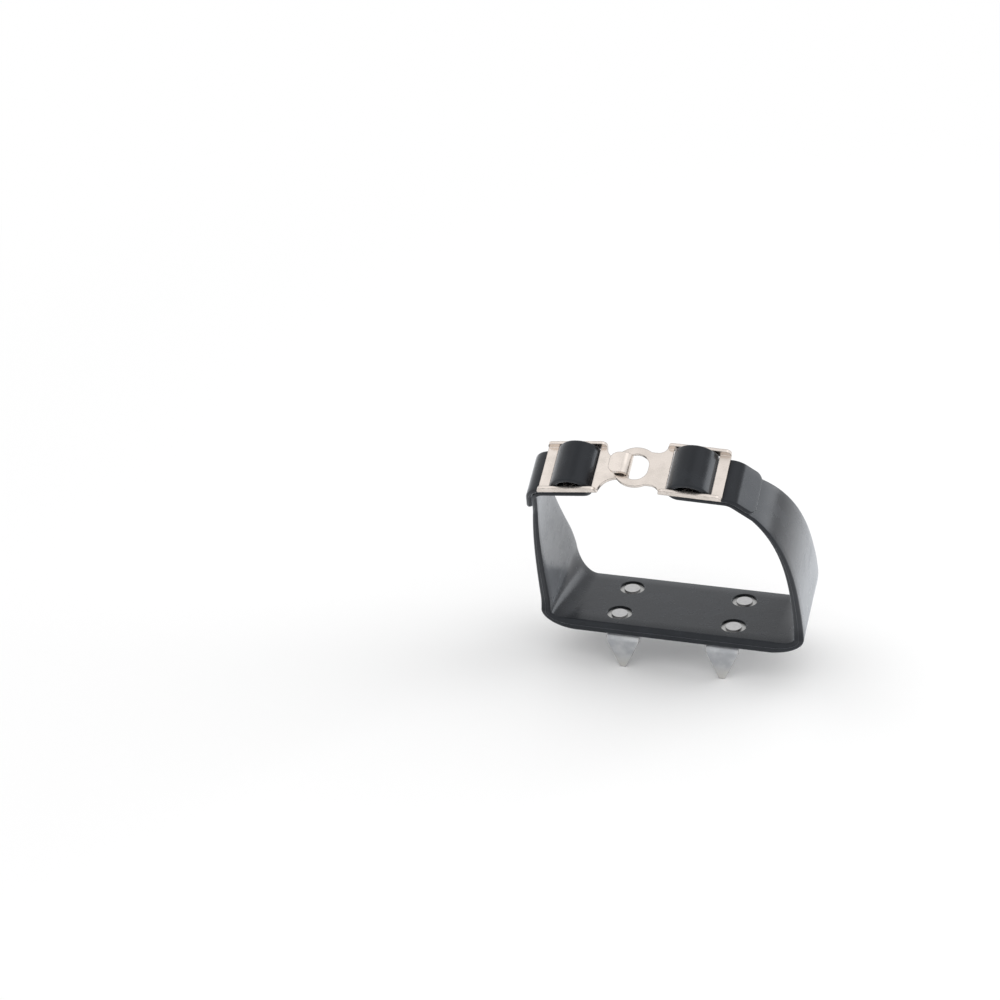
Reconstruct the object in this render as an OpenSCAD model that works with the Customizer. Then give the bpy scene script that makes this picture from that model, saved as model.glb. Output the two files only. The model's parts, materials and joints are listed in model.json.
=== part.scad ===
// Instep crampon: a toothed steel plate riveted under a moulded rubber band.
// The band closes over the instep with two stamped steel slides, one ending
// in an eye and the other in a hook. +X is the eye side, +Y points to the
// heel and +Z is up. The origin is the middle of the pad's top, where the sole sits.

/* [Rubber band] */
// Width of the strap where it runs through the slides
strap_w = 18; // [14:0.5:24]
// Thickness of the strap where it runs through the slides
strap_t = 2; // [1.8:0.1:3]
// Width of the pad under the sole, front to back
pad_w = 38; // [37:1:54]
// Thickness of the pad under the sole
pad_t = 5; // [4.5:0.25:7]
// Thickness of the wings just above the pad
wing_t = 3.9; // [2.8:0.1:5]
// Distance between the middles of the two wings
band_span = 100; // [94:1:112]
// How far the foot of a wing turns in towards the heel
waist = 2; // [0:1:10]
// How late a wing narrows on its way up, from 1, evenly, to 2, near the top
wing_swell = 1; // [1:0.1:2]
// Radius where a wing turns under the sole
corner_r = 11; // [7:0.5:16]
// Radius where the strap turns down beyond a slide
shoulder_r = 4.5; // [3.5:0.5:9]
// Straight run of the strap's loose tail below the shoulder
tail_run = 8.5; // [4:0.5:12]
// Corner radius at the end of the tail
tail_corner_r = 3.5; // [1:0.5:6]
// Height of the strap's arch above the underside of a slide
arch_top = 5.7; // [5.3:0.1:6.3]
// Radius where the sides of that arch turn over, along the middle of the strap
arch_side_r = 2.6; // [2:0.1:3]
// Radius where the strap turns up into a slide, along the middle of the strap
turn_up_r = 3.4; // [2.6:0.1:4]

/* [Fit over the instep] */
// Height of the eye above the middle of the pad
buckle_h = 86; // [78:1:98]
// Sideways place of the eye from the middle of the pad
buckle_x = -6; // [-10:0.5:-4]
// Slope of the slides, up towards the heel
instep_slope = 30; // [20:1:36]
// Height over which the wings lean into that slope
lean_h = 20; // [14:1:36]
// Fall of the eye slide, outwards
eye_roll = 2; // [0:0.5:4]
// Fall of the hook slide, outwards
hook_roll = 10; // [8:0.5:12]
// Angle of the strap below the eye slide
eye_turn = 48; // [40:1:58]
// Angle of the strap below the hook slide
hook_turn = 82; // [74:1:89]

/* [Steel slides] */
// Thickness of the stamped sheet
sheet_t = 1.2; // [1:0.1:1.4]
// Height of the side flanges above the plate
flange_h = 2.3; // [1.8:0.1:3.2]
// Outer radius of the bends between the plate and its flanges
flange_bend_r = 1.4; // [1.3:0.1:1.8]
// Radius of a flange's end corners
flange_corner_r = 2; // [1:0.25:2.75]
// Length of the window that the strap loops through
window_l = 17; // [16:0.5:20]
// Width of the outer bar
end_bar_w = 4.2; // [3:0.2:6]
// Width of the centre bar
centre_bar_w = 4.6; // [3.5:0.1:5]
// Rounding of the centre bar's edges
centre_bar_edge_r = 0.5; // [0.2:0.05:0.55]
// Outer radius of the eye
eye_r = 8.4; // [7.6:0.1:9.4]
// Radius of the ends of the eye's hole
hole_r = 4.8; // [4.6:0.1:5.2]
// Half of the straight stretch of the eye's hole
hole_flat = 0.8; // [0.6:0.1:1.4]
// Width of the neck between the eye and its slide
eye_neck_w = 14; // [12:0.5:15]
// Length of that neck, from the eye's centre to the slide
eye_neck_l = 10.4; // [9.8:0.1:12]
// Width of the plate strip between a neck and the window
plate_strip = 2.4; // [1.6:0.2:4]
// Width of the hook
hook_w = 8.6; // [7.6:0.1:8.8]
// Room between the hook's neck and its tongue
hook_room = 3.4; // [3.3:0.1:4]
// Reach of the tongue's tip from the eye's centre
tongue_reach = 9.2; // [8.8:0.1:9.6]
// Corner radius of the tongue's tip
tongue_corner_r = 3; // [2:0.25:3.5]
// Length of the hook's neck, from the eye's centre to the slide
hook_neck_l = 13.6; // [12:0.2:16]

/* [Tooth plate] */
// Thickness of the tooth plate
plate_t = 2; // [1.5:0.25:3]
// Length of the tooth plate, side to side
plate_l = 64; // [56:1:72]
// Width of the tooth plate, front to back over the teeth
plate_w = 36; // [36:1:46]
// Corner radius of the tooth plate
plate_corner_r = 5; // [2:0.5:8]
// Height of a tooth below the plate
tooth_h = 13; // [9:0.5:18]
// Width of a tooth at its root
tooth_root_w = 13; // [9:0.5:16]
// Width of a tooth at its tip
tooth_tip_w = 2.4; // [1.6:0.2:4]
// Distance between the two teeth of a row
tooth_pitch = 40; // [32:1:46]
// Inner radius of the bend above a tooth
tooth_bend_r = 1.5; // [1:0.25:3]
// Length of the slot in the middle of the plate
slot_l = 26; // [12:1:32]
// Width of that slot
slot_w = 9; // [5:0.5:13]

/* [Rivets] */
// Diameter of a rivet's shank
rivet_d = 4; // [3:0.25:5]
// Diameter of a rivet's domed head
rivet_head_d = 8; // [7:0.25:9]
// Height of a rivet's domed head
rivet_head_h = 1.8; // [1.2:0.1:2.4]
// Diameter of a rivet's set end
rivet_set_d = 6.4; // [5.5:0.1:7]
// Height of a rivet's set end
rivet_set_h = 0.8; // [0.5:0.1:1.2]
// Distance between rivets, side to side
rivet_pitch_x = 46; // [42:1:50]
// Distance between rivets, front to back
rivet_pitch_y = 20; // [18:1:20]
// Diameter of a washer
washer_d = 10; // [8:0.25:11]
// Thickness of a washer
washer_t = 1; // [0.8:0.1:1.4]

/* [Hidden] */
// Room between the strap and the steel, and between two turns of the strap
strap_gap = 0.25;
// Room between the strap's edges and the flanges
side_gap = 0.4;
// Room between the hook's bend and the eye
hook_gap = 0.3;
// Room between the hook's neck and the underside of the eye
rim_room = 0.7;
// Room between a rivet, its washer and the holes they sit in
rivet_gap = 0.1;
// Gap where the hook end of the band can draw away from the rest
split_gap = 0.25;
// Distance from the tail's end to that gap
split_margin = 1.5;
// How far the bends of one sheet, or the ends of one rivet, run into what they grow from
seam = 0.05;
// Rounding of the band's edges
band_edge_r = 0.8;
// How strongly the side of the band keeps the directions of its ends
side_pull = 0.31;
// Steps along a wing, along a quarter turn, and around an edge
wing_steps = 14;
turn_steps = 6;
edge_steps = 2;
$fn = 64;

pad_middle = -pad_t / 2;
plate_bottom = -pad_t - plate_t;
ground = plate_bottom - tooth_h;
side_x = band_span / 2;

slide_inner_w = strap_w + 2 * side_gap;
slide_w = slide_inner_w + 2 * sheet_t;
flange_top = sheet_t + flange_h;
eye_window = eye_neck_l + plate_strip;
hook_window = hook_neck_l + plate_strip;

tail_z = -strap_gap - strap_t / 2;
main_z = tail_z - strap_t - strap_gap;
tail_bend_r = shoulder_r + strap_t + strap_gap;
main_run = tail_run + split_margin;

// The strap's arch through a window: a flat crown between two tighter sides,
// and the centre bar that it lies over
arch_z = arch_top - strap_t / 2;
spring_z = sheet_t / 2;
arch_half = window_l / 2 - strap_gap - strap_t / 2;
arch_rise = arch_z - spring_z;
crown_r = (pow(arch_half, 2) + pow(arch_rise, 2) - 2 * arch_half * arch_side_r)
    / (2 * (arch_rise - arch_side_r));
crown_half = asin((arch_half - arch_side_r) / (crown_r - arch_side_r));
crown_under_r = crown_r - strap_t / 2;
bar_sag = crown_under_r - sqrt(pow(crown_under_r, 2) - pow(centre_bar_w / 2, 2));
centre_bar_top = arch_top - strap_t - strap_gap - bar_sag;

// Room under the eye for the hook's neck, and the place of the hook's bend
hole_edge = sqrt(pow(hole_r, 2) - pow(hook_w / 2 - hole_flat, 2));
hook_drop = sheet_t + rim_room - hole_edge * (tan(eye_roll) + tan(hook_roll));
bend_r = hook_room / 2;
bend_x = hole_edge - hook_gap + sqrt(pow(bend_r, 2) - pow(bend_r - rim_room, 2));

buckle_y = -tan(instep_slope) * (buckle_h - lean_h / 2);
buckle_z = pad_middle + buckle_h;

rubber = "#1d1d1f";
bright_steel = "gainsboro";
tooth_steel = "silver";

function unit(v) = v / norm(v);
function lerp(a, b, t) = a + (b - a) * t;
function swell(t) = 1 - pow(t, wing_swell);
function arc(centre, r, from, to, steps) =
    [for (i = [0 : steps]) let (a = lerp(from, to, i / steps)) centre + r * [cos(a), sin(a)]];
function tail_of(list) = [for (i = [1 : len(list) - 1]) list[i]];
function bezier(p, t) =
    pow(1 - t, 3) * p[0] + 3 * t * pow(1 - t, 2) * p[1] + 3 * t * t * (1 - t) * p[2] + pow(t, 3) * p[3];

// How far forward the band leans at a height above the pad, and its tilt there
function lean(h) =
    h < lean_h ? -tan(instep_slope) * h * h / (2 * lean_h) : -tan(instep_slope) * (h - lean_h / 2);
function tilt(h) = atan(tan(instep_slope) * max(0, min(1, h / lean_h)));

// A station of the band: its middle, the way its width runs, its width and its thickness
function station(x, h, w, t, turn_in = 0) =
    [[x, lean(h), pad_middle + h], unit([tan(turn_in), cos(tilt(h)), sin(tilt(h))]), w, t];

// From a slide's own frame, outwards and upwards, to sideways place and height above the pad
function on_slide(p, side, roll, drop) =
    let (out = p[0] * cos(roll) + (p[1] - drop) * sin(roll))
    let (up = (p[1] - drop) * cos(roll) - p[0] * sin(roll))
    [buckle_x + side * out, buckle_h + up * cos(instep_slope)];

// The strap through a slide: up from below the shoulder, round the centre bar and back as the tail
function slide_out(window) = window + window_l + end_bar_w + strap_gap;
function shoulder_point(window, r, swing) =
    [slide_out(window) + r * sin(swing), main_z - shoulder_r + r * cos(swing)];
function split_point(window, swing, run) =
    shoulder_point(window, shoulder_r, swing) + run * [cos(swing), -sin(swing)];
function loop_path(window, swing) =
    let (bend = [slide_out(window), main_z - shoulder_r])
    let (middle = window + window_l / 2)
    let (side_off = arch_half - arch_side_r)
    concat(
        [split_point(window, swing, main_run)],
        arc(bend, shoulder_r, 90 - swing, 90, turn_steps),
        arc([middle - arch_half + turn_up_r, main_z + turn_up_r], turn_up_r, 270, 180, turn_steps),
        arc([middle - side_off, spring_z], arch_side_r, 180, 90 + crown_half, turn_steps),
        tail_of(arc([middle, arch_z - crown_r], crown_r, 90 + crown_half, 90 - crown_half, turn_steps)),
        tail_of(arc([middle + side_off, spring_z], arch_side_r, 90 - crown_half, 0, turn_steps)),
        arc([window + window_l, 0], strap_gap + strap_t / 2, 180, 270, turn_steps),
        arc(bend, tail_bend_r, 90, 90 - swing, turn_steps)
    );
function tail_path(window, swing) =
    [for (i = [1 : turn_steps])
        let (left = tail_corner_r * (1 - sin(90 * (i - 1) / (turn_steps - 1))))
        [shoulder_point(window, tail_bend_r, swing) + (tail_run - left) * [cos(swing), -sin(swing)],
         strap_w - 2 * (tail_corner_r - sqrt(pow(tail_corner_r, 2) - pow(tail_corner_r - left, 2)))]];
function strap_stations(window, side, roll, turn, drop) =
    let (swing = turn - roll)
    concat(
        [for (p = loop_path(window, swing))
            let (q = on_slide(p, side, roll, drop)) station(q[0], q[1], strap_w, strap_t)],
        [for (p = tail_path(window, swing))
            let (q = on_slide(p[0], side, roll, drop)) station(q[0], q[1], p[1], strap_t)]
    );

// A wing, from the pad up to where the strap begins
function wing_stations(window, side, roll, turn, drop, gap) =
    let (swing = turn - roll)
    let (top = on_slide(split_point(window, swing, main_run + gap), side, roll, drop))
    let (above = on_slide(split_point(window, swing, 0), side, roll, drop))
    let (foot = [side * side_x, corner_r])
    let (pull = side_pull * norm(top - foot))
    let (curve = [foot, foot + [0, pull], top + pull * unit(top - above), top])
    concat(
        [for (p = arc([side_x - corner_r, corner_r], corner_r, 270, 360, turn_steps))
            let (t = (p[0] - side_x + corner_r) / corner_r)
            station(side * p[0], p[1], pad_w, lerp(pad_t, wing_t, t), -side * waist * t)],
        [for (i = [1 : wing_steps])
            let (t = i / wing_steps)
            let (p = bezier(curve, t))
            station(p[0], p[1], lerp(strap_w, pad_w, swell(t)), lerp(wing_t, strap_t, t),
                -side * waist * (1 - t))]
    );

function reversed(list) = [for (i = [len(list) - 1 : -1 : 0]) list[i]];
function section(w, t) =
    [for (corner = [[1, 1], [-1, 1], [-1, -1], [1, -1]], i = [0 : edge_steps])
        let (start = corner[1] > 0 ? (corner[0] > 0 ? 0 : 90) : (corner[0] < 0 ? 180 : 270))
        let (a = start + 90 * i / edge_steps)
        [corner[0] * (w / 2 - band_edge_r) + band_edge_r * cos(a),
         corner[1] * (t / 2 - band_edge_r) + band_edge_r * sin(a)]];

// One closed solid swept through the stations
module strip(stations) {
    last = len(stations) - 1;
    sides = 4 * (edge_steps + 1);
    points = [for (i = [0 : last])
        let (ahead = stations[min(i + 1, last)][0], behind = stations[max(i - 1, 0)][0])
        let (along = unit(ahead - behind))
        let (across = unit(stations[i][1] - (stations[i][1] * along) * along))
        let (out = cross(along, across))
        for (p = section(stations[i][2], stations[i][3]))
            stations[i][0] + p[0] * across + p[1] * out];
    walls = [for (i = [0 : last - 1], j = [0 : sides - 1])
        let (a = i * sides + j, b = i * sides + (j + 1) % sides)
        each [[a, b, a + sides], [b, b + sides, a + sides]]];
    ends = [[for (j = [sides - 1 : -1 : 0]) j], [for (j = [0 : sides - 1]) last * sides + j]];
    polyhedron(points, concat(walls, ends));
}

module at_rivets() {
    for (x = [-1, 1], y = [-1, 1])
        translate([x * rivet_pitch_x / 2, y * rivet_pitch_y / 2, 0])
            children();
}

recess_floor = -washer_t - rivet_set_h - rivet_gap;

module band() {
    color(rubber)
    difference() {
        strip(concat(
            reversed(wing_stations(hook_window, -1, hook_roll, hook_turn, hook_drop, split_gap)),
            wing_stations(eye_window, 1, eye_roll, eye_turn, 0, 0),
            tail_of(strap_stations(eye_window, 1, eye_roll, eye_turn, 0))
        ));
        at_rivets() {
            translate([0, 0, -pad_t - 1])
                cylinder(h = pad_t + 2, d = rivet_d + 2 * rivet_gap);
            translate([0, 0, recess_floor])
                cylinder(h = pad_t, d = washer_d + 2 * rivet_gap);
        }
    }
}

module hook_strap() {
    color(rubber)
    strip(strap_stations(hook_window, -1, hook_roll, hook_turn, hook_drop));
}

// Puts a slide, drawn outwards along +X with its underside on z = 0, in its place
module place_slide(side, roll, drop) {
    translate([buckle_x, buckle_y, buckle_z])
        rotate([instep_slope, 0, 0])
            mirror([side < 0 ? 1 : 0, 0, 0])
                rotate([0, roll, 0])
                    translate([0, 0, -drop])
                        children();
}

module flange_side(start, end) {
    r = flange_corner_r;
    translate([start, 0])
        square([end - start, flange_top - r]);
    translate([start + r, 0])
        square([end - start - 2 * r, flange_top]);
    for (x = [start + r, end - r])
        translate([x, flange_top - r])
            circle(r);
}

// The sheet's section: a plate whose two sides are bent up
module channel(start, end) {
    r = flange_bend_r;
    inside_r = r - sheet_t;
    translate([start, 0, 0])
        rotate([90, 0, 90])
            linear_extrude(end - start)
                difference() {
                    union() {
                        translate([-slide_w / 2, r])
                            square([slide_w, flange_top]);
                        translate([r - slide_w / 2, 0])
                            square([slide_w - 2 * r, 2 * r]);
                        for (y = [-1, 1])
                            translate([y * (slide_w / 2 - r), r])
                                circle(r);
                    }
                    translate([-slide_inner_w / 2, r])
                        square([slide_inner_w, 2 * flange_top]);
                    translate([r - slide_w / 2, sheet_t])
                        square([slide_w - 2 * r, 2 * flange_top]);
                    for (y = [-1, 1])
                        translate([y * (slide_w / 2 - r), r])
                            circle(inside_r);
                }
}

module rounded_bar(w, t, r) {
    translate([r, 0])
        square([w - 2 * r, t]);
    translate([0, r])
        square([w, t - 2 * r]);
    for (x = [r, w - r], y = [r, t - r])
        translate([x, y])
            circle(r);
}

// The stamped slide: plate strip, window with its raised centre bar, end bar and flanges
module slide_body(start, window) {
    end = window + window_l + end_bar_w;
    bar_x = window + (window_l - centre_bar_w) / 2;
    difference() {
        intersection() {
            channel(start, end);
            translate([0, slide_w / 2, 0])
                rotate([90, 0, 0])
                    linear_extrude(slide_w)
                        flange_side(start, end);
        }
        translate([window, -slide_inner_w / 2, -1])
            cube([window_l, slide_inner_w, flange_bend_r + 2]);
    }
    translate([bar_x, slide_w / 2, centre_bar_top - sheet_t])
        rotate([90, 0, 0])
            linear_extrude(slide_w)
                rounded_bar(centre_bar_w, sheet_t, centre_bar_edge_r);
}

// A neck of a given width that runs into a slide with concave fillets
module neck_outline(from, to, w) {
    r = (slide_w - w) / 2;
    difference() {
        translate([from, -slide_w / 2])
            square([to - from, slide_w]);
        for (y = [-1, 1]) {
            translate([to - r, y * slide_w / 2])
                circle(r);
            translate([from - 1, y > 0 ? w / 2 : -slide_w / 2 - 1])
                square([to - r - from + 1, r + 1]);
        }
    }
}

module eye_hole() {
    for (y = [-hole_flat, hole_flat])
        translate([0, y])
            circle(hole_r);
    translate([-hole_r, -hole_flat])
        square([2 * hole_r, 2 * hole_flat]);
}

module eye_slide() {
    color(bright_steel)
    place_slide(1, eye_roll, 0) {
        intersection() {
            channel(-eye_r, eye_neck_l + seam);
            linear_extrude(sheet_t)
                difference() {
                    union() {
                        circle(eye_r);
                        neck_outline(0, eye_neck_l + seam, eye_neck_w);
                    }
                    eye_hole();
                }
        }
        slide_body(eye_neck_l, eye_window);
    }
}

module tongue_outline() {
    r = tongue_corner_r;
    translate([bend_x, -hook_w / 2])
        square([tongue_reach - bend_x - r, hook_w]);
    translate([bend_x, r - hook_w / 2])
        square([tongue_reach - bend_x, hook_w - 2 * r]);
    for (y = [-1, 1])
        translate([tongue_reach - r, y * (hook_w / 2 - r)])
            circle(r);
}

module hook_bend() {
    translate([bend_x, hook_w / 2, sheet_t + bend_r])
        rotate([90, 0, 0])
            linear_extrude(hook_w)
                difference() {
                    circle(bend_r + sheet_t);
                    circle(bend_r);
                    translate([seam, -2 * hook_room])
                        square(4 * hook_room);
                }
}

module hook_slide() {
    color(bright_steel)
    place_slide(-1, hook_roll, hook_drop) {
        intersection() {
            channel(bend_x, hook_neck_l + seam);
            linear_extrude(sheet_t)
                neck_outline(bend_x, hook_neck_l + seam, hook_w);
        }
        hook_bend();
        translate([0, 0, sheet_t + hook_room])
            linear_extrude(sheet_t)
                tongue_outline();
        slide_body(hook_neck_l, hook_window);
    }
}

// A tooth's face, its tip at the bottom, and the quarter turn that joins it to the plate
tooth_drop = tooth_h - tooth_bend_r;
bend_out_r = tooth_bend_r + plate_t;

module tooth() {
    translate([0, plate_w / 2, 0])
        rotate([90, 0, 0])
            linear_extrude(plate_t)
                polygon([
                    [-tooth_root_w / 2, tooth_drop + seam], [-tooth_tip_w / 2, 0],
                    [tooth_tip_w / 2, 0], [tooth_root_w / 2, tooth_drop + seam]
                ]);
    translate([-tooth_root_w / 2, plate_w / 2 - bend_out_r, tooth_drop])
        rotate([90, 0, 90])
            linear_extrude(tooth_root_w)
                intersection() {
                    difference() {
                        circle(bend_out_r);
                        circle(tooth_bend_r);
                    }
                    square(bend_out_r);
                }
}

module plate_outline() {
    w = plate_w - 2 * bend_out_r;
    r = plate_corner_r;
    square([plate_l - 2 * r, w], center = true);
    square([plate_l, w - 2 * r], center = true);
    for (x = [-1, 1], y = [-1, 1])
        translate([x * (plate_l / 2 - r), y * (w / 2 - r)])
            circle(r);
    for (x = [-1, 1])
        translate([x * tooth_pitch / 2, 0])
            square([tooth_root_w, w + 2 * seam], center = true);
}

module plate_slot() {
    square([slot_l - slot_w, slot_w], center = true);
    for (x = [-1, 1])
        translate([x * (slot_l - slot_w) / 2, 0])
            circle(d = slot_w);
}

module tooth_plate() {
    color(tooth_steel) {
        difference() {
            translate([0, 0, plate_bottom])
                linear_extrude(plate_t)
                    difference() {
                        plate_outline();
                        plate_slot();
                    }
            at_rivets()
                translate([0, 0, plate_bottom - 1])
                    cylinder(h = plate_t + 2, d = rivet_d + 2 * rivet_gap);
        }
        for (x = [-1, 1], turn = [0, 180])
            rotate([0, 0, turn])
                translate([x * tooth_pitch / 2, 0, ground])
                    tooth();
    }
}

// A domed head under the plate, a shank, and an end set over its washer
module rivet(x, y) {
    dome_r = (pow(rivet_head_d / 2, 2) + pow(rivet_head_h, 2)) / (2 * rivet_head_h);
    set_z = recess_floor + washer_t;
    color(tooth_steel)
    translate([x * rivet_pitch_x / 2, y * rivet_pitch_y / 2, 0]) {
        intersection() {
            translate([0, 0, plate_bottom - rivet_head_h + dome_r])
                sphere(dome_r);
            translate([0, 0, plate_bottom - rivet_head_h])
                cylinder(h = rivet_head_h, d = rivet_head_d);
        }
        translate([0, 0, plate_bottom - seam])
            cylinder(h = set_z - plate_bottom + 2 * seam, d = rivet_d);
        translate([0, 0, set_z])
            cylinder(h = rivet_set_h, d = rivet_set_d);
    }
}

module washer(x, y) {
    color(bright_steel)
    translate([x * rivet_pitch_x / 2, y * rivet_pitch_y / 2, recess_floor])
        difference() {
            cylinder(h = washer_t, d = washer_d);
            translate([0, 0, -1])
                cylinder(h = washer_t + 2, d = rivet_d + 2 * rivet_gap);
        }
}

band();
hook_strap();
eye_slide();
hook_slide();
tooth_plate();
rivet(-1, -1);  // front_hook_rivet
rivet(1, -1);  // front_eye_rivet
rivet(-1, 1);  // rear_hook_rivet
rivet(1, 1);  // rear_eye_rivet
washer(-1, -1);  // front_hook_washer
washer(1, -1);  // front_eye_washer
washer(-1, 1);  // rear_hook_washer
washer(1, 1);  // rear_eye_washer
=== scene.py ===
# %% [markdown]
# # An instep crampon
#
# This small ice cleat is a moulded rubber band with a toothed steel plate riveted under it.
# The band's two ends loop through stamped steel slides, and the slides meet on top in a hook and
# an eye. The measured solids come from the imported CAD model, and this script keeps their sizes
# and places, apart from two small corrections: the strap's arches stand a little higher, and a
# low ledge is taken off the hook's tongue. It gives each piece the soft edges and the finish of
# the real one.

# %% Load the measured solids
import json
import math

import bpy
from mathutils import Matrix, Vector

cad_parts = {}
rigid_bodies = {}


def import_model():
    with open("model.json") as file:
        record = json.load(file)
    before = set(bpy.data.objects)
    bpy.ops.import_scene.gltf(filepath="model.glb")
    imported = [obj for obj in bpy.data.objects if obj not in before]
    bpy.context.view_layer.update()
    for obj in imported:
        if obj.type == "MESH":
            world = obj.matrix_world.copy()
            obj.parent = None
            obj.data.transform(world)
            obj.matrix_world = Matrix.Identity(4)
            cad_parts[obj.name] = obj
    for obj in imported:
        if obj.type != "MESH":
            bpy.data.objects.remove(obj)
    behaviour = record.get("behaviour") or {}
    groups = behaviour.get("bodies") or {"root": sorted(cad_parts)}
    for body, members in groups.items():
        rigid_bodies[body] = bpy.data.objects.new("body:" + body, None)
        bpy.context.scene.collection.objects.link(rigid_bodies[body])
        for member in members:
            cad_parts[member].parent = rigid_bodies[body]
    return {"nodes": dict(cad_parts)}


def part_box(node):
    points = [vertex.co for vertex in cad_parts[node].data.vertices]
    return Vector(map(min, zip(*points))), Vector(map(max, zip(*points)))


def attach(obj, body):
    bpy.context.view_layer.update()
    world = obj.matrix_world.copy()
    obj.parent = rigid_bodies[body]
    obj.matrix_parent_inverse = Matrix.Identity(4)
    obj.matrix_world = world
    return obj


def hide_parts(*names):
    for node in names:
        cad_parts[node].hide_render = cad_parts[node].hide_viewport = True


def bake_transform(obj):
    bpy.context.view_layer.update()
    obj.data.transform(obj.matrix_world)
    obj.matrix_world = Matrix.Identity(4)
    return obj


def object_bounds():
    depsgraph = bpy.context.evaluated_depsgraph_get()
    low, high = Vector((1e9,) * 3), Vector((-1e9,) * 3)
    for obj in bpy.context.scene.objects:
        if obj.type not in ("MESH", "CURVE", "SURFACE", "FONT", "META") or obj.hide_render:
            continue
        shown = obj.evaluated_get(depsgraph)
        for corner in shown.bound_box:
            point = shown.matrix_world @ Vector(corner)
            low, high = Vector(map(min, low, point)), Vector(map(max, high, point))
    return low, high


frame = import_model()
cad_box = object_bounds()
scene = bpy.context.scene
scene.view_settings.view_transform = "Standard"
print("nodes:", ", ".join(sorted(frame["nodes"])))

# %% [markdown]
# ## The camera
#
# The photograph looks down on the buckle from the front, a little from the eye side, through a
# long lens. The angles and the distance were fitted to the corners of the slides and to the
# outline of the strap. The object sits right of the middle of the frame, so the camera is turned
# until its aim point falls on the pixel where the photograph has it. Turning it, rather than
# shifting the lens, keeps every other view of the scene centred.

# %% Camera
camera_azimuth = math.radians(14.05)
camera_elevation = math.radians(29.42)
camera_roll = math.radians(0.76)
camera_distance = 1.0
camera_aim = Vector((0.003, -0.02193, 0.037))
aim_pixel = (675.46, 552.46)
frame_pixels = 1000.0
sensor_width = 36.0
lens_length = 93.9
nearest_seen = 0.01

towards_camera = Vector((
    math.sin(camera_azimuth) * math.cos(camera_elevation),
    -math.cos(camera_azimuth) * math.cos(camera_elevation),
    math.sin(camera_elevation),
))
right = Vector((0, 0, 1)).cross(towards_camera).normalized()
above = towards_camera.cross(right)
look = Matrix((right, above, towards_camera)).transposed()
focal_pixels = lens_length / sensor_width * frame_pixels
off_centre = Vector((
    (aim_pixel[0] - frame_pixels / 2) / focal_pixels,
    (frame_pixels / 2 - aim_pixel[1]) / focal_pixels,
    -1.0,
))
turn = off_centre.rotation_difference(Vector((0, 0, -1))).to_matrix()
facing = look @ Matrix.Rotation(-camera_roll, 3, "Z") @ turn

bpy.ops.object.camera_add()
camera = bpy.context.object
camera.name = "photo_camera"
camera.data.sensor_width = sensor_width
camera.data.lens = lens_length
camera.data.clip_start = nearest_seen
standing = Matrix.Translation(camera_aim + camera_distance * towards_camera)
camera.matrix_world = standing @ facing.to_4x4()
scene.camera = camera
print("camera at", [round(value, 3) for value in camera.location])

# %% [markdown]
# ## The rubber band
#
# On the real object the band is one moulding: a thick pad, two wings that narrow as they rise,
# and two straps that loop round the raised bars of the slides and come back as tails.
# A curve with a bevel could follow that route, but its section would keep one shape all along.
# A grid whose rows are laid on stations along the route lets width and thickness change smoothly,
# and it leaves even quads for the shading. First come the sizes, then the route.

# %% Sizes of the band
# All lengths are in metres.
strap_width = 0.018
strap_thick = 0.002
pad_width = 0.038
pad_thick = 0.005
wing_thick = 0.0039
wing_x = 0.050
waist = math.radians(2)
corner_radius = 0.011
shoulder_radius = 0.0045
tail_run = 0.0085
tail_corner = 0.0035
edge_radius = 0.0008
wing_pull = 0.31
print("strap", strap_width, "x", strap_thick, "m, pad", pad_width, "x", pad_thick, "m")

# %% Sizes of the slides that the band meets
# The photograph shows the arches 1.3 mm higher than the solids have them, so arch_top is larger here.
buckle_height = 0.086
buckle_x = -0.006
slope = math.radians(30)
lean_height = 0.020

window_length = 0.017
end_bar = 0.0042
gap = 0.00025
sheet_thick = 0.0012
arch_top = 0.0070
arch_side = 0.0026
turn_up = 0.0034
slope_degrees = round(math.degrees(slope))
print("buckle", buckle_height, "m above the pad's middle, on a slope of", slope_degrees, "degrees")

# %% The two ends of the band
# Each end has its side of the band, the start of its slide's window, the fall of that slide,
# the angle of the strap below it, and how far the slide lies under the eye.
eye_end = {
    "side": 1,
    "window": 0.0128,
    "roll": math.radians(2),
    "turn": math.radians(48),
    "drop": 0.0,
}
hook_end = {
    "side": -1,
    "window": 0.016,
    "roll": math.radians(10),
    "turn": math.radians(82),
    "drop": 0.001206,
}
print("the slides fall by", [round(math.degrees(end["roll"])) for end in (eye_end, hook_end)], "degrees")

# %% The strap's arch over the centre bar
# The strap's two layers lie under the slide. The arch has a wide crown between two tighter sides.
run_past_tail = 0.0015
tail_level = -gap - strap_thick / 2
main_level = tail_level - strap_thick - gap
spring_level = sheet_thick / 2
arch_level = arch_top - strap_thick / 2
arch_half = window_length / 2 - gap - strap_thick / 2
arch_rise = arch_level - spring_level
arch_offset = arch_half - arch_side
crown_sum = arch_half ** 2 + arch_rise ** 2 - 2 * arch_half * arch_side
crown_radius = crown_sum / (2 * (arch_rise - arch_side))
crown_angle = math.asin(arch_offset / (crown_radius - arch_side))
tail_bend = shoulder_radius + strap_thick + gap
main_run = tail_run + run_past_tail
print("arch over the centre bar: crown radius", round(crown_radius, 4), "m")

# %% [markdown]
# A station is one row of the grid: the middle of the section, the way its width runs, its width and
# its thickness. The band leans forward as it rises, because the slides lie on a slope, so a
# station's height gives its lean and its tilt.


# %% Stations
def lean(height):
    """How far forward the band is at a height above the middle of the pad."""
    if height < lean_height:
        return -math.tan(slope) * height * height / (2 * lean_height)
    return -math.tan(slope) * (height - lean_height / 2)


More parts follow.
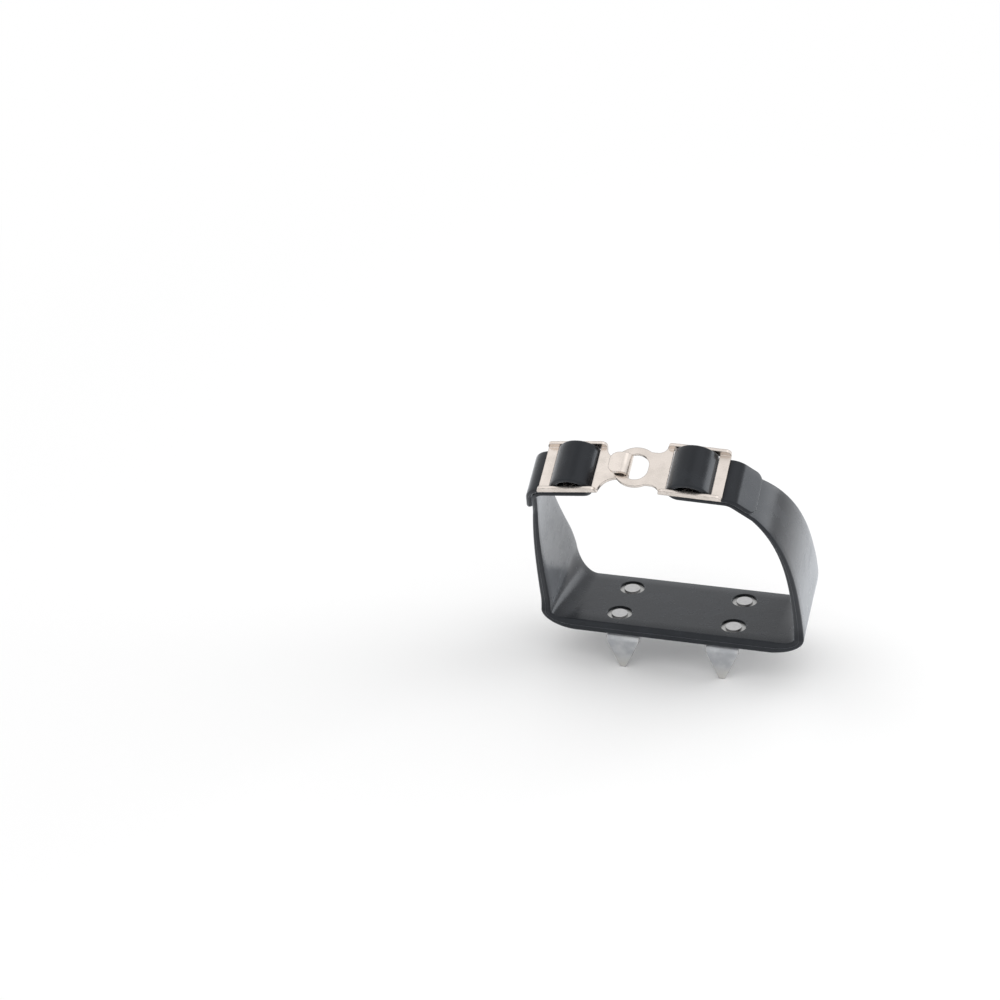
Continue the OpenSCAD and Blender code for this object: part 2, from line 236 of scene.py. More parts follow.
def station(place, width, thick, turn_in=0.0):
    """One row of the band, at a sideways place and a height above the pad's middle."""
    x, height = place
    tilt = math.atan(math.tan(slope) * min(1, max(0, height / lean_height)))
    centre = Vector((x, lean(height), height - pad_thick / 2))
    across = Vector((math.tan(turn_in), math.cos(tilt), math.sin(tilt))).normalized()
    return centre, across, width, thick


def arc(centre, radius, start, stop, steps):
    """Points on an arc, with its angles in radians."""
    angles = [start + (stop - start) * step / steps for step in range(steps + 1)]
    return [Vector((centre[0] + radius * math.cos(a), centre[1] + radius * math.sin(a))) for a in angles]


def filled(points, spacing):
    """The same route with even points along its long straights."""
    route = [points[0]]
    for here, there in zip(points, points[1:]):
        parts = max(1, math.ceil((there - here).length / spacing))
        route += [here.lerp(there, part / parts) for part in range(1, parts + 1)]
    return route


print("forward lean at the buckle", round(lean(buckle_height), 4), "m")

# %% [markdown]
# The strap comes up from the wing and turns in over the shoulder. It passes under the slide, round
# the centre bar and down again between the slide and itself, and its tail lies on the outside of
# the shoulder. That route is drawn flat, in the slide's own frame, and then laid on the slope.


# %% From the slide's frame to the band's
def on_slide(point, end):
    """From a slide's own frame, outwards and upwards, to sideways place and height above the pad."""
    level = point[1] - end["drop"]
    out = point[0] * math.cos(end["roll"]) + level * math.sin(end["roll"])
    up = level * math.cos(end["roll"]) - point[0] * math.sin(end["roll"])
    return Vector((buckle_x + end["side"] * out, buckle_height + up * math.cos(slope)))


def shoulder_point(end, radius, run):
    """A point that has turned over the shoulder and gone on straight for a run."""
    swing = end["turn"] - end["roll"]
    slide_out = end["window"] + window_length + end_bar + gap
    down = Vector((math.cos(swing), -math.sin(swing)))
    top = Vector((slide_out, main_level - shoulder_radius))
    return top + radius * Vector((math.sin(swing), math.cos(swing))) + run * down


eye_tail_end = on_slide(shoulder_point(eye_end, tail_bend, tail_run), eye_end)
print("the eye end's tail stops at", [round(v, 4) for v in eye_tail_end])

# %% Strap route
bend_steps = 14
side_steps = 12
crown_steps = 16
tail_bend_steps = 18
tail_steps = 14
route_spacing = 0.002


def strap_stations(end):
    """The strap from the top of its wing, through the slide, to the end of the tail."""
    quarter = math.pi / 2
    swing = end["turn"] - end["roll"]
    bend = Vector((end["window"] + window_length + end_bar + gap, main_level - shoulder_radius))
    middle = end["window"] + window_length / 2
    outer = end["window"] + window_length
    rise, fall = quarter + crown_angle, quarter - crown_angle
    route = [shoulder_point(end, shoulder_radius, main_run)]
    route += arc(bend, shoulder_radius, quarter - swing, quarter, bend_steps)
    lift = (middle - arch_half + turn_up, main_level + turn_up)
    route += arc(lift, turn_up, 3 * quarter, 2 * quarter, bend_steps)
    route += arc((middle - arch_offset, spring_level), arch_side, 2 * quarter, rise, side_steps)
    route += arc((middle, arch_level - crown_radius), crown_radius, rise, fall, crown_steps)[1:]
    route += arc((middle + arch_offset, spring_level), arch_side, fall, 0, side_steps)[1:]
    route += arc((outer, 0), gap + strap_thick / 2, 2 * quarter, 3 * quarter, side_steps)
    route += arc(bend, tail_bend, quarter, quarter - swing, tail_bend_steps)
    places = [on_slide(point, end) for point in filled(route, route_spacing)]
    rows = [station(place, strap_width, strap_thick) for place in places]
    for step in range(tail_steps):
        left = tail_corner * (1 - math.sin(quarter * step / (tail_steps - 1)))
        inset = tail_corner - math.sqrt(tail_corner ** 2 - (tail_corner - left) ** 2)
        edge_left = min(left, edge_radius)
        rounding = edge_radius - math.sqrt(edge_radius ** 2 - (edge_radius - edge_left) ** 2)
        place = on_slide(shoulder_point(end, tail_bend, tail_run - left), end)
        rows.append(station(place, strap_width - 2 * (inset + rounding), strap_thick - 2 * rounding))
    return rows


print("stations along one strap:", len(strap_stations(eye_end)))

# %% [markdown]
# The wing turns up from the pad's edge on a quarter circle and then follows a Bezier curve to the
# strap. It gets thinner all the way, and along the curve it also narrows to the strap's width.

# %% Wing route
corner_turn_steps = 18
wing_steps = 48


def wing_stations(end):
    """A wing from the pad's edge, round the corner and up to where its strap begins."""
    side = end["side"]
    top = on_slide(shoulder_point(end, shoulder_radius, main_run), end)
    above_top = on_slide(shoulder_point(end, shoulder_radius, 0), end)
    root = Vector((side * wing_x, corner_radius))
    pull = wing_pull * (top - root).length
    lower = root + Vector((0, pull))
    upper = top + pull * (top - above_top).normalized()
    rows = []
    corner = (wing_x - corner_radius, corner_radius)
    for point in arc(corner, corner_radius, -math.pi / 2, 0, corner_turn_steps):
        t = (point[0] - wing_x + corner_radius) / corner_radius
        thick = pad_thick + (wing_thick - pad_thick) * t
        rows.append(station((side * point[0], point[1]), pad_width, thick, -side * waist * t))
    for step in range(1, wing_steps + 1):
        t = step / wing_steps
        s = 1 - t
        place = s ** 3 * root + 3 * t * s * s * lower + 3 * t * t * s * upper + t ** 3 * top
        width = pad_width + (strap_width - pad_width) * t
        thick = wing_thick + (strap_thick - wing_thick) * t
        rows.append(station(place, width, thick, -side * waist * s))
    return rows


print("stations along one wing:", len(wing_stations(eye_end)))

# %% The whole band, from tail to tail
pad_steps = 13
pad_edge = wing_x - corner_radius
pad_places = [(pad_edge * step / pad_steps, 0) for step in range(1 - pad_steps, pad_steps)]
pad_rows = [station(place, pad_width, pad_thick) for place in pad_places]
hook_rows = wing_stations(hook_end) + strap_stations(hook_end)[1:]
eye_rows = wing_stations(eye_end) + strap_stations(eye_end)[1:]
band_rows = hook_rows[::-1] + pad_rows + eye_rows
print("stations along the band:", len(band_rows))

# %% [markdown]
# The section is a flat rectangle with rounded edges. Where the mould halves met, a fine ridge runs
# along the middle of each narrow side, and the surface beside it is a little rougher. Each point
# therefore carries a value that is 1 on the narrow sides and 0 on the flat faces, which the
# rubber's finish reads later.


# %% The section
corner_steps = 4
face_steps = 8
ridge_height = 0.00014
ridge_half = 0.00016
roundest = 0.49


def section(width, thick):
    """Points round the section, as place across, place outwards and nearness to the narrow side."""
    radius = min(edge_radius, roundest * thick)
    wide = width / 2 - radius
    high = thick / 2 - radius
    points = []
    for quarter, (a, b) in enumerate(((1, 1), (-1, 1), (-1, -1), (1, -1))):
        for step in range(corner_steps + 1):
            angle = math.pi / 2 * (quarter + step / corner_steps)
            cos, sin = math.cos(angle), math.sin(angle)
            points.append((a * wide + radius * cos, b * high + radius * sin, abs(cos)))
        if quarter % 2 == 0:
            steps = [1 - 2 * step / face_steps for step in range(1, face_steps)]
            points += [(a * wide * step, b * thick / 2, 0.0) for step in steps]
        else:
            side = b * min(ridge_half, high / 2)
            points.append((a * width / 2, side, 1.0))
            points.append((a * (width / 2 + ridge_height), 0.0, 1.0))
            points.append((a * width / 2, -side, 1.0))
    return points


def ring(rows, index):
    """The section's points in space at one station."""
    centre, across, width, thick = rows[index]
    along = rows[min(index + 1, len(rows) - 1)][0] - rows[max(index - 1, 0)][0]
    along.normalize()
    across = (across - across.dot(along) * along).normalized()
    out = along.cross(across)
    return [(centre + a * across + b * out, rim) for a, b, rim in section(width, thick)]


rings = [ring(band_rows, index) for index in range(len(band_rows))]
around = len(rings[0])
print("points round the section:", around)

# %% [markdown]
# An operator acts on whatever is selected, so two helpers make the selection plain each time. The
# grid then gets one row for each station and one column for each point of the section. Its points
# are moved to their places, the seam along the band is merged, and both ends are closed.


# %% Select one piece at a time
def deselect():
    """Leaves nothing selected, so that the next operator acts on its own piece only."""
    if bpy.context.object and bpy.context.object.mode != "OBJECT":
        bpy.ops.object.mode_set(mode="OBJECT")
    for item in bpy.context.view_layer.objects:
        item.select_set(False)


def pick(piece):
    """Makes one piece the selected and active object."""
    deselect()
    piece.select_set(True)
    bpy.context.view_layer.objects.active = piece


deselect()
print("selected:", len(bpy.context.selected_objects))

# %% Lay the grid on the stations
same_point = 1e-6
bpy.ops.mesh.primitive_grid_add(x_subdivisions=len(rings) - 1, y_subdivisions=around, size=2)
band = bpy.context.object
band.name = "rubber_band"
rim = band.data.attributes.new("rim", "FLOAT", "POINT")
for vertex in band.data.vertices:
    row = round((vertex.co.x + 1) / 2 * (len(rings) - 1))
    column = round((vertex.co.y + 1) / 2 * around) % around
    vertex.co, rim.data[vertex.index].value = rings[row][column]

bpy.ops.object.mode_set(mode="EDIT")
bpy.ops.mesh.select_all(action="SELECT")
bpy.ops.mesh.remove_doubles(threshold=same_point)
bpy.ops.mesh.fill_holes(sides=0)
bpy.ops.mesh.select_all(action="SELECT")
bpy.ops.mesh.normals_make_consistent(inside=False)
bpy.ops.object.mode_set(mode="OBJECT")
print("band faces:", len(band.data.polygons))

# %% [markdown]
# Four rivets pass through the pad, and each set end sits with its washer in a round recess, so that
# nothing hard stands above the rubber. The holes are cut with cylinders placed by the CAD washers
# and rivets.

# %% Recesses and holes in the pad
rivet_places = ("front_hook", "front_eye", "rear_hook", "rear_eye")
fit = 0.0001
hole_sides = 56


def subtract(piece, cutter):
    """Cuts one mesh out of another and removes the cutter."""
    pick(piece)
    cut = piece.modifiers.new("cut", "BOOLEAN")
    cut.operation = "DIFFERENCE"
    cut.solver = "EXACT"
    cut.object = cutter
    bpy.ops.object.modifier_apply(modifier=cut.name)
    bpy.data.objects.remove(cutter)


def cut_round(piece, node, radius, low, high):
    """Cuts a round hole in a piece, on the axis of a CAD node, between two heights."""
    lowest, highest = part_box(node)
    middle = (lowest + highest) / 2
    deselect()
    bpy.ops.mesh.primitive_cylinder_add(
        vertices=hole_sides,
        radius=radius,
        depth=high - low,
        location=(middle.x, middle.y, (low + high) / 2),
    )
    subtract(piece, bpy.context.object)


washer_low, washer_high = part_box("front_eye_washer")
washer_radius = (washer_high.x - washer_low.x) / 2
shank_radius = 0.002
rubber_crease = math.radians(35)
for place in rivet_places:
    cut_round(band, place + "_washer", washer_radius + fit, washer_low.z, pad_thick)
    cut_round(band, place + "_rivet", shank_radius + fit, -2 * pad_thick, pad_thick)
pick(band)
bpy.ops.object.shade_smooth_by_angle(angle=rubber_crease)
print("band faces with its holes:", len(band.data.polygons))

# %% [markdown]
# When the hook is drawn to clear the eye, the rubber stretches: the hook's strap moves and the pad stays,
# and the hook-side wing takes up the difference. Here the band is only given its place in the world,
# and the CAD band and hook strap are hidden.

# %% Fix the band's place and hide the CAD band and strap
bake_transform(band)
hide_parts("band", "hook_strap")

# %% [markdown]
# ## The steel pieces
#
# The slides and the tooth plate are stamped from sheet, then tumbled and plated, so no edge is sharp.
# The CAD solids have the right sizes with crisp edges. Each gets a copy whose triangles are merged
# into clean faces, shaded smooth over its bends and flat elsewhere. The thick plate, the rivets and
# the washers have their edges broken by a small bevel, whose faces get a second material slot for
# the wear there. The slides' thin rims bend too tightly for a bevel, which would fold over itself,
# so their finish rounds the edges instead.


# %% Soften a steel piece
near_point = 5e-5
flat_within = math.radians(1)
steel_crease = math.radians(40)
flat_weight = 100


def softened(node, name, body, edge=None, trim=None):
    """A copy of a CAD node with clean faces, which then stands for the node."""
    weld = near_point if edge else same_point
    piece = bpy.data.objects.new(name, frame["nodes"][node].data.copy())
    bpy.context.collection.objects.link(piece)
    piece.data.materials.clear()
    pick(piece)
    bpy.ops.mesh.customdata_custom_splitnormals_clear()
    bpy.ops.object.mode_set(mode="EDIT")
    bpy.ops.mesh.select_all(action="SELECT")
    bpy.ops.mesh.remove_doubles(threshold=weld)
    bpy.ops.mesh.dissolve_limited(angle_limit=flat_within)
    bpy.ops.object.mode_set(mode="OBJECT")
    if trim:
        trim(piece)
    if edge:
        break_edges(piece, edge)
    bpy.ops.object.shade_smooth_by_angle(angle=steel_crease)
    flats = piece.modifiers.new("flats", "WEIGHTED_NORMAL")
    flats.keep_sharp = True
    flats.weight = flat_weight
    bpy.ops.object.modifier_apply(modifier=flats.name)
    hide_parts(node)
    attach(piece, body)
    print(name, "faces:", len(piece.data.polygons))
    return piece


print("bends under", round(math.degrees(steel_crease)), "degrees are shaded smooth")

# %% Break the edges of a piece
bevel_segments = 3
sharp_from = math.radians(35)


def break_edges(piece, width):
    """Rounds the sharp edges of the active piece and gives the new faces its second material slot."""
    piece.data.materials.append(None)
    piece.data.materials.append(None)
    bevel = piece.modifiers.new("edge", "BEVEL")
    bevel.width = width
    bevel.segments = bevel_segments
    bevel.limit_method = "ANGLE"
    bevel.angle_limit = sharp_from
    bevel.use_clamp_overlap = False
    bevel.material = 1
    bpy.ops.object.modifier_apply(modifier=bevel.name)


print("edges sharper than", round(math.degrees(sharp_from)), "degrees are broken")

# %% [markdown]
# The hook's tongue is bent back over itself. In the solid, the flat tongue starts a little before its
# bend ends, which leaves a low ledge there. The sheet of a real one runs on smoothly, so the ledge is
# cut away by a block that has the round of the bend hollowed out of it.

# %% Ease the tongue into its bend
bend_axis = (0.00436, 0.0029)
bend_reach = 0.002902
bend_sides = 216
ease_block = 0.004
ease_width = 0.012
ease_weld = 2e-5


def ease_tongue(piece):
    """Takes the ledge off the hook's tongue, outside the round of its bend."""
    middle, across = station(on_slide(bend_axis, hook_end), 0, 0)[:2]
    further_out = (bend_axis[0] + bend_reach, bend_axis[1])
    out = (station(on_slide(further_out, hook_end), 0, 0)[0] - middle).normalized()
    turned = Matrix((out, across.cross(out), across)).transposed().to_4x4()
    deselect()
    bpy.ops.mesh.primitive_cube_add(
        size=1,
        location=(-ease_block / 2, ease_block / 2, 0),
        scale=(ease_block, ease_block, ease_width),
    )
    bpy.ops.object.transform_apply()
    block = bpy.context.object
    deselect()
    bpy.ops.mesh.primitive_cylinder_add(vertices=bend_sides, radius=bend_reach, depth=2 * ease_width)
    subtract(block, bpy.context.object)
    block.data.transform(Matrix.Translation(middle) @ turned)
    subtract(piece, block)
    bpy.ops.object.mode_set(mode="EDIT")
    bpy.ops.mesh.select_all(action="SELECT")
    bpy.ops.mesh.remove_doubles(threshold=ease_weld)
    bpy.ops.mesh.dissolve_limited(angle_limit=flat_within)
    bpy.ops.object.mode_set(mode="OBJECT")


print("the bend's axis is", bend_axis[1], "m above the underside of the hook slide")

# %% Slides and tooth plate
plate_edge = 0.0003
eye_slide = softened("eye_slide", "eye_slide_stamping", "base")
hook_slide = softened("hook_slide", "hook_slide_stamping", "hook_end", trim=ease_tongue)
tooth_plate = softened("tooth_plate", "tooth_plate_stamping", "base", plate_edge)

# %% Rivets and washers
rivet_edge = 0.00012
washer_edge = 0.0001
rivets = []
washers = []
for place in rivet_places:
    rivet, washer = place + "_rivet", place + "_washer"
    rivets.append(softened(rivet, rivet + "_formed", "base", rivet_edge))
    washers.append(softened(washer, washer + "_blanked", "base", washer_edge))

# %% [markdown]
# ## Finishes
#
# Every finish is made from noise and simple sums, with no pictures. A small class lets node sockets be
# added and multiplied like numbers, so that a finish reads as a formula. Any node that isn't plain
# arithmetic is added by one method, which sets the node up and links its sockets.


# %% Sums on sockets
class Wire:
    """One output of a shader node, which can be used in a sum."""

    def __init__(self, tree, socket=None):
        self.tree = tree
        self.socket = socket

    def add(self, kind, settings=None, inputs=None, output=0):
        """Adds a node: its settings first, then the values or links of its inputs."""
        node = self.tree.nodes.new(kind)
        for name, value in (settings or {}).items():
            setattr(node, name, value)
        for key, value in (inputs or {}).items():
            if isinstance(value, Wire):
                self.tree.links.new(value.socket, node.inputs[key])
            else:
                node.inputs[key].default_value = value
        return Wire(self.tree, node.outputs[output])

    def sum(self, operation, first, second):
        """A Math node on two values or wires."""
        return self.add("ShaderNodeMath", {"operation": operation}, {0: first, 1: second})

    def to(self, socket):
        """Links this wire to a shader's socket."""
        self.tree.links.new(self.socket, socket)

    def __add__(self, other):
        return self.sum("ADD", self, other)

    def __radd__(self, other):
        return self.sum("ADD", other, self)

    def __sub__(self, other):
        return self.sum("SUBTRACT", self, other)

    def __rsub__(self, other):
        return self.sum("SUBTRACT", other, self)

    def __mul__(self, other):
        return self.sum("MULTIPLY", self, other)

    def __rmul__(self, other):
        return self.sum("MULTIPLY", other, self)


print("a wire adds, subtracts and multiplies")


# %% A new finish, its noise and its ramps
def new_finish(name):
    """A material, its main shader and its Object coordinates."""
    material = bpy.data.materials.new(name)
    material.use_nodes = True
    tree = material.node_tree
    coordinates = tree.nodes.new("ShaderNodeTexCoord")
    return material, tree.nodes["Principled BSDF"], Wire(tree, coordinates.outputs["Object"])


def noise(place, size, detail):
    """Noise whose features are about this size, in metres."""
    return place.add("ShaderNodeTexNoise", None, {"Vector": place, "Scale": 1 / size, "Detail": detail})


def stretched(place, scale, turned=(0, 0, 0)):
    """The same place with each axis scaled, and turned where asked, for a grain that runs one way."""
    turning = {"Vector": place, "Rotation": turned}
    rotated = place.add("ShaderNodeMapping", {"vector_type": "TEXTURE"}, turning)
    return place.add("ShaderNodeMapping", None, {"Vector": rotated, "Scale": scale})


def ramp(value, low, high):
    """0 below low, 1 above high and a smooth rise between."""
    inputs = {"Value": value, "From Min": low, "From Max": high}
    return value.add("ShaderNodeMapRange", {"interpolation_type": "SMOOTHSTEP"}, inputs)


def blend_colours(factor, first, second):
    """A colour between two."""
    return factor.add("ShaderNodeMix", {"data_type": "RGBA"}, {0: factor, 6: first, 7: second}, 2)


print("patterns: noise, stretched, ramp and blend_colours")

# %% [markdown]
# A Bump node turns small heights into shading. A Bevel node gives the normal of a rounded edge, and
# where that differs from the face's own normal, there is an edge, so one node rounds the edges and
# also finds where they wear and where the painted edge shade goes.

# %% Relief, rounded edges and dressing
bevel_samples = 6
edge_from = 0.01
edge_full = 0.12


def relief(height, depth, strength, under=None):
    """A Bump node whose height of 1 stands this deep, in metres, on a plain or a rounded surface."""
    inputs = {"Height": height, "Distance": depth, "Strength": strength}
    if under:
        inputs["Normal"] = under
    return height.add("ShaderNodeBump", None, inputs, "Normal")


def rounded_edges(place, radius):
    """The surface as if its edges were rounded, and a value that rises to 1 along those edges."""
    rounded = place.add("ShaderNodeBevel", {"samples": bevel_samples}, {"Radius": radius})
    crisp = place.add("ShaderNodeNewGeometry", None, None, "True Normal")
    both = {0: rounded, 1: crisp}
    agreement = place.add("ShaderNodeVectorMath", {"operation": "DOT_PRODUCT"}, both, "Value")
    return rounded, ramp(1 - agreement, edge_from, edge_full)


def dress(pieces, *materials):
    """Gives the pieces their finish, and a second one for the worn edges of a steel piece."""
    for piece in pieces:
        while len(piece.data.materials) < len(materials):
            piece.data.materials.append(None)
        for index, material in enumerate(materials):
            piece.data.materials[index] = material
    print(", ".join(material.name for material in materials), "on", len(pieces))


print("an edge is full where the normals differ by", edge_full)

# %% [markdown]
# ### Rubber
#
# Moulded rubber is nearly black when it faces you, and turns to a pale grey sheen where you look
# along it, because a thin bloom of wax comes to its surface. The sheen of the shader does just that.
# The faces carry a very fine grain from the mould and slow waves from shrinkage, handling leaves
# faint cloudy marks, and the narrow edges are a little duller along the mould line.

# %% Rubber finish
deep_black = (0.004, 0.004, 0.005, 1)
greyed_black = (0.016, 0.018, 0.022, 1)
gloss_tint = (0.86, 0.92, 1.0, 1)
bloom_tint = (0.88, 0.93, 1.0, 1)
rubber_relief = 0.00010
rubber, shader, place = new_finish("moulded_rubber")
cloud = noise(place, size=0.009, detail=4.0)
speck = noise(place, size=0.0011, detail=2.0)
grain = noise(place, size=0.00016, detail=1.0)
waves = noise(place, size=0.006, detail=1.0)
edge = place.add("ShaderNodeAttribute", {"attribute_name": "rim"}, None, "Fac")
handled = ramp(cloud, low=0.46, high=0.70)
shader.inputs["Specular IOR Level"].default_value = 0.36
shader.inputs["Specular Tint"].default_value = gloss_tint
shader.inputs["Sheen Weight"].default_value = 0.95
shader.inputs["Sheen Roughness"].default_value = 0.30
shader.inputs["Sheen Tint"].default_value = bloom_tint
tone = 0.25 * speck + 0.35 * handled + 0.20 * edge
blend_colours(tone, deep_black, greyed_black).to(shader.inputs["Base Color"])
(0.22 + 0.07 * handled + 0.05 * speck + 0.10 * edge).to(shader.inputs["Roughness"])
uneven = 0.10 * grain + 0.15 * speck + 0.8 * waves
relief(uneven, depth=rubber_relief, strength=0.45).to(shader.inputs["Normal"])
dress([band], rubber)

# %% [markdown]
# ### Bright plated slides
#
# The slides are plated steel, a warm near-white with a satin polish. The rolling of the sheet leaves
# fine lines along each slide, tumbling leaves small dents and short scratches, and the plating is
# slightly cloudy. A Bevel node rounds the edges as the light sees them. Where it turns the surface
# most, the colour goes in patches to a dark grey steel. That is partly plating worn down by handling and
# partly painted shade and dark reflection, which draws the fine darker lines along the edges.

# %% Slide finish
edge_round = 0.0004
clear_plating = (0.77, 0.70, 0.645, 1)
cloudy_plating = (0.67, 0.61, 0.56, 1)
# dark grey along the slides' edges: partly worn plating, partly painted shade and dark reflection
bare_steel_and_edge_shade = (0.24, 0.22, 0.205, 1)
along_slide = (slope, 0, 0)
across_grain = (slope, 0, 0.6)
slide_relief = 0.00002
slide_steel, shader, place = new_finish("satin_nickel")
rolled = noise(stretched(place, scale=(120, 2600, 2600), turned=along_slide), size=1.0, detail=2.0)
cloud = noise(place, size=0.005, detail=3.0)
dents = noise(place, size=0.0025, detail=1.0)
streaks = noise(stretched(place, scale=(260, 5200, 5200), turned=across_grain), size=1.0, detail=1.0)
scratch = ramp(streaks, low=0.66, high=0.74)
rounded, edge = rounded_edges(place, edge_round)
patchy = noise(place, size=0.0015, detail=2.0)
# painted shade: the edges turn dark grey in patches, standing in for the shade and dark reflections
# there, and partly also for worn plating
worn_and_shaded_edge = edge * ramp(patchy, low=0.20, high=0.55)
tone = ramp(cloud, low=0.35, high=0.75)
shader.inputs["Metallic"].default_value = 1.0
plating = blend_colours(tone, clear_plating, cloudy_plating)
blend_colours(worn_and_shaded_edge, plating, bare_steel_and_edge_shade).to(shader.inputs["Base Color"])
(0.20 + 0.08 * rolled + 0.06 * tone + 0.08 * scratch + 0.08 * worn_and_shaded_edge).to(shader.inputs["Roughness"])
uneven = 0.25 * rolled + dents - 0.3 * scratch
relief(uneven, depth=slide_relief, strength=0.35, under=rounded).to(shader.inputs["Normal"])
dress([eye_slide, hook_slide], slide_steel)

# %% [markdown]
# ### Zinc-plated tooth plate
#
# The tooth plate is thicker steel with a dull zinc coat. Use wears the coat off towards the tips,
# which turn brighter and scratched, so the wear follows the height above the ground.

# %% Tooth plate finish
ground_level = cad_box[0].z
dull_zinc = (0.40, 0.41, 0.43, 1)
pale_zinc = (0.52, 0.53, 0.54, 1)
scraped_steel = (0.60, 0.59, 0.57, 1)
all_worn = ground_level + 0.004
unworn = ground_level + 0.010
zinc_relief = 0.00005
tooth_steel, shader, place = new_finish("worn_zinc")
cloud = noise(place, size=0.004, detail=4.0)
fine = noise(place, size=0.0006, detail=2.0)
height = place.add("ShaderNodeSeparateXYZ", None, {0: place}, "Z")
rough_height = height + 0.006 * cloud
worn = 1 - ramp(rough_height, all_worn, unworn)
scrape = noise(stretched(place, scale=(900, 900, 150)), size=1.0, detail=2.0)
shader.inputs["Metallic"].default_value = 1.0
zinc = blend_colours(ramp(cloud, low=0.35, high=0.70), dull_zinc, pale_zinc)
blend_colours(worn, zinc, scraped_steel).to(shader.inputs["Base Color"])
(0.42 + 0.10 * fine - 0.14 * worn).to(shader.inputs["Roughness"])
relief(0.5 * fine + 0.4 * scrape * worn, depth=zinc_relief, strength=0.5).to(shader.inputs["Normal"])
print("the coat is worn off below", round(all_worn, 4), "m")

# %% Rubbed edges of the tooth plate
rubbed_dark = (0.40, 0.40, 0.41, 1)
rubbed_bright = (0.62, 0.61, 0.60, 1)
rubbed_zinc, shader, place = new_finish("rubbed_zinc_edge")
patchy = noise(place, size=0.002, detail=2.0)
shader.inputs["Metallic"].default_value = 1.0
blend_colours(patchy, rubbed_dark, rubbed_bright).to(shader.inputs["Base Color"])
(0.28 + 0.14 * patchy).to(shader.inputs["Roughness"])
dress([tooth_plate], tooth_steel, rubbed_zinc)

# %% [markdown]
# ### Rivets and washers
#
# The rivets are formed cold, so their domes are smooth with a few press marks. The washers are
# blanked from thinner sheet and stay a little greyer.

# %% Rivet finish
smooth_dome = (0.50, 0.50, 0.50, 1)
press_mark = (0.44, 0.44, 0.45, 1)
rivet_relief = 0.00005
rivet_steel, shader, place = new_finish("formed_rivet_steel")
marks = noise(place, size=0.0012, detail=2.0)
shader.inputs["Metallic"].default_value = 1.0
blend_colours(ramp(marks, low=0.3, high=0.8), smooth_dome, press_mark).to(shader.inputs["Base Color"])
(0.24 + 0.18 * marks).to(shader.inputs["Roughness"])
relief(marks, depth=rivet_relief, strength=0.35).to(shader.inputs["Normal"])
dress(rivets, rivet_steel, rubbed_zinc)

# %% Washer finish
washer_pale = (0.47, 0.47, 0.46, 1)
washer_dark = (0.38, 0.38, 0.38, 1)
washer_relief = 0.00003
washer_steel, shader, place = new_finish("blanked_washer_steel")
marks = noise(stretched(place, scale=(250, 1900, 1900)), size=1.0, detail=2.0)
shader.inputs["Metallic"].default_value = 1.0
blend_colours(marks, washer_pale, washer_dark).to(shader.inputs["Base Color"])
(0.30 + 0.16 * marks).to(shader.inputs["Roughness"])
relief(marks, depth=washer_relief, strength=0.35).to(shader.inputs["Normal"])
dress(washers, washer_steel, rubbed_zinc)

# %% [markdown]
# ## The studio
#
# The photograph has a plain white ground. The floor is a wide pale disc whose far part glows white, so
# that it runs into the white surround without an edge, and near the object it keeps the shadow. Rays
# that show something see the surround at full white, and only the rays that carry soft light get less.

# %% Floor
floor_radius = 8
floor_sides = 128
floor_pale = (0.96, 0.96, 0.96, 1)
white = (1, 1, 1, 1)
glow_from = 0.15
glow_full = 0.6
deselect()
bpy.ops.mesh.primitive_circle_add(vertices=floor_sides, radius=floor_radius, fill_type="NGON")
floor = bpy.context.object
floor.name = "floor"
floor.data.transform(Matrix.Translation((0, 0, ground_level)))

pale = bpy.data.materials.new("pale_floor")
pale.use_nodes = True
pale.node_tree.nodes.clear()
start = Wire(pale.node_tree)
place = start.add("ShaderNodeTexCoord", None, None, "Object")
distance = start.add("ShaderNodeVectorMath", {"operation": "LENGTH"}, {0: place}, "Value")
near = start.add("ShaderNodeBsdfDiffuse", None, {"Color": floor_pale})
far = start.add("ShaderNodeEmission", None, {"Color": white})
glowing = ramp(distance, glow_from, glow_full)
surface = start.add("ShaderNodeMixShader", None, {0: glowing, 1: near, 2: far})
floor_output = pale.node_tree.nodes.new("ShaderNodeOutputMaterial")
surface.to(floor_output.inputs["Surface"])
dress([floor], pale)

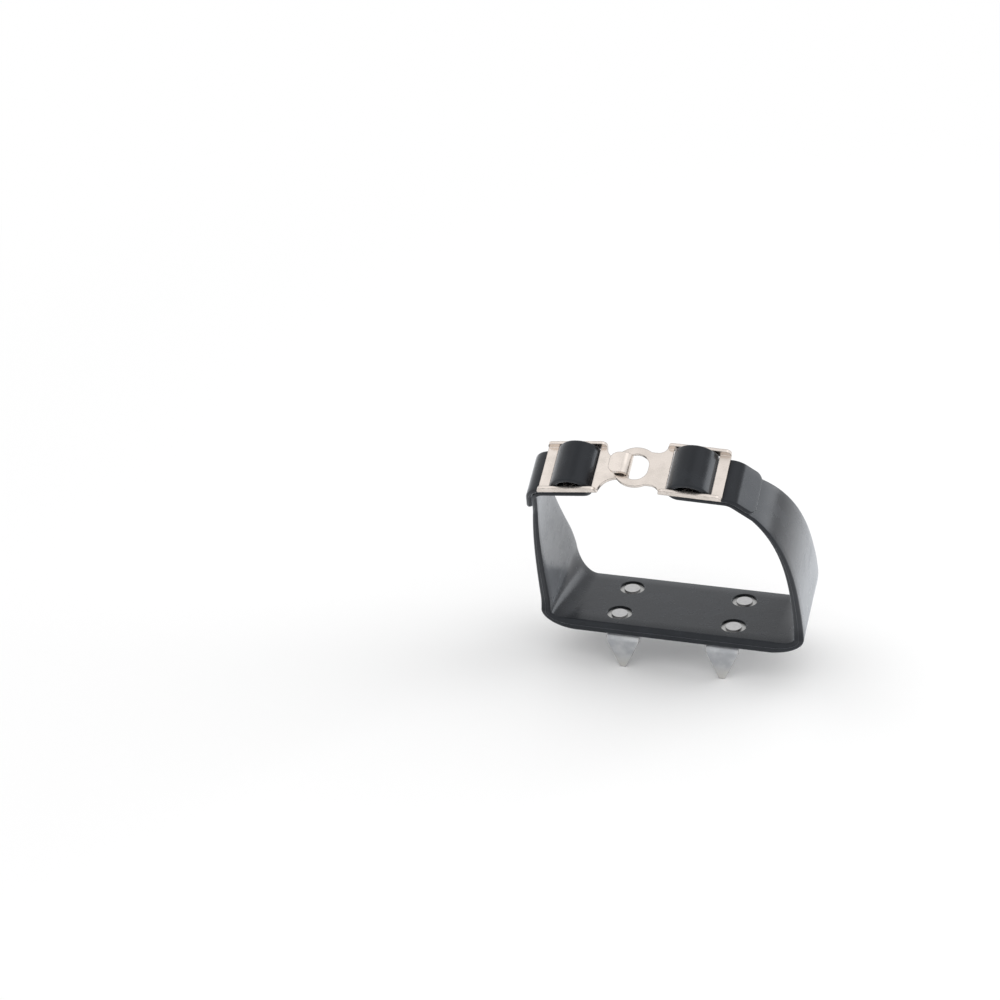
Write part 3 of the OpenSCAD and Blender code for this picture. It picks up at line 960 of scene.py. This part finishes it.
# %% Surround
surround = bpy.data.worlds.new("white_surround")
scene.world = surround
surround.use_nodes = True
surround.node_tree.nodes.clear()
start = Wire(surround.node_tree)
path = surround.node_tree.nodes.new("ShaderNodeLightPath")
camera_ray = Wire(surround.node_tree, path.outputs["Is Camera Ray"])
glossy_ray = Wire(surround.node_tree, path.outputs["Is Glossy Ray"])
clear_ray = Wire(surround.node_tree, path.outputs["Is Transmission Ray"])
seen = start.sum("MAXIMUM", start.sum("MAXIMUM", camera_ray, glossy_ray), clear_ray)
soft_light = 0.88
strength = soft_light + (1 - soft_light) * seen
glow = start.add("ShaderNodeBackground", None, {"Color": white, "Strength": strength})
world_output = surround.node_tree.nodes.new("ShaderNodeOutputWorld")
glow.to(world_output.inputs["Surface"])
print("soft light from the surround:", soft_light)

# %% [markdown]
# Three large lamps give the shapes their form. A key lamp stands high on the eye side and a weaker
# fill lamp opposite. The third is a low strip behind the eye side, which brings out the sheen along
# the wing as in the photograph. Plated metal mirrors a lamp on top of the white surround and would
# burn out to plain white, so light linking keeps that strip to the rubber and the floor.


# %% Lamps
def softbox(name, azimuth, elevation, distance, size, power, lit=None):
    """A lamp of a width and a height, turned to face the object, which may light some pieces only."""
    around_object = math.radians(azimuth)
    above_floor = math.radians(elevation)
    direction = Vector((
        math.sin(around_object) * math.cos(above_floor),
        -math.cos(around_object) * math.cos(above_floor),
        math.sin(above_floor),
    ))
    bpy.ops.object.light_add(type="AREA", location=camera_aim + distance * direction)
    lamp = bpy.context.object
    lamp.name = name
    lamp.data.shape = "RECTANGLE"
    lamp.data.size, lamp.data.size_y = size
    lamp.data.energy = power
    lamp.rotation_euler = direction.to_track_quat("Z", "Y").to_euler()
    if lit:
        lamp.light_linking.receiver_collection = bpy.data.collections.new(name + "_lights")
        for piece in lit:
            lamp.light_linking.receiver_collection.objects.link(piece)
    print(name, power, "W")


softbox("key_softbox", azimuth=55, elevation=60, distance=1.5, size=(1.5, 1.5), power=2.4)
softbox("fill_softbox", azimuth=-50, elevation=50, distance=1.5, size=(1.3, 1.3), power=1.2)
sheen_lit = [band, floor]
softbox("side_strip", azimuth=118, elevation=15, distance=1.4, size=(1.3, 0.7), power=9.0, lit=sheen_lit)
